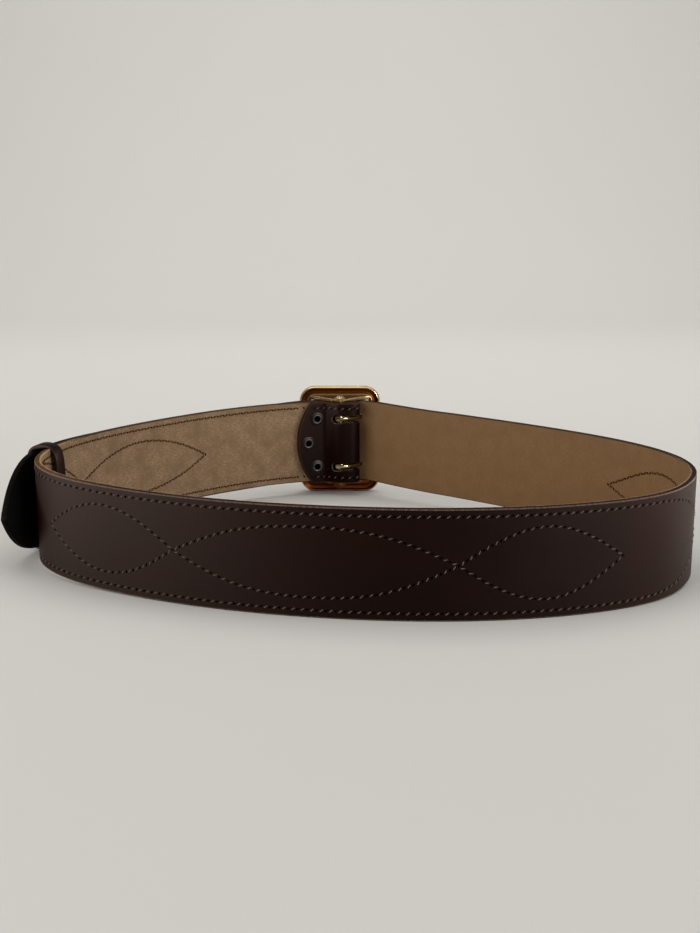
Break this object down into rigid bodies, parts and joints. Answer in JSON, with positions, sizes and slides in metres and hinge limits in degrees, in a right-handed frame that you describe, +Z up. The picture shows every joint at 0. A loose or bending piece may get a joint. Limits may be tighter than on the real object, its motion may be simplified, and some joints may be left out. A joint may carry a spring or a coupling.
{
  "type": "double-prong buckle belt",
  "caption": "Wide leather waist belt fastened into a ring by a brass two-prong buckle, its pointed free end in a leather keeper, lying on its edge.",
  "frame": {"origin": "centre of the belt's bounding box, on the surface it lies on", "axes": "+Z up, across the strap's width; +Y from the front of the ring to the buckle behind it; +X along the ring's longer way, to the right as seen from the front"},
  "size_m": [0.3838, 0.289, 0.076],
  "materials": {
    "strap_leather": "dark brown dyed bridle leather with a soft gloss, tan flesh side",
    "keeper_leather": "dark brown dyed leather",
    "buckle_brass": "polished cast brass, slightly tarnished",
    "snap_gunmetal": "dark gunmetal plating"
  },
  "bodies": {
    "root": {"strap": "strap_leather", "keeper_loop": "keeper_leather", "buckle_frame": "buckle_brass", "prong_upper": "buckle_brass", "prong_lower": "buckle_brass", "snap_upper": "snap_gunmetal", "snap_middle": "snap_gunmetal", "snap_lower": "snap_gunmetal", "snap_cap_upper": "snap_gunmetal", "snap_cap_middle": "snap_gunmetal", "snap_cap_lower": "snap_gunmetal"}
  },
  "joints": []
}
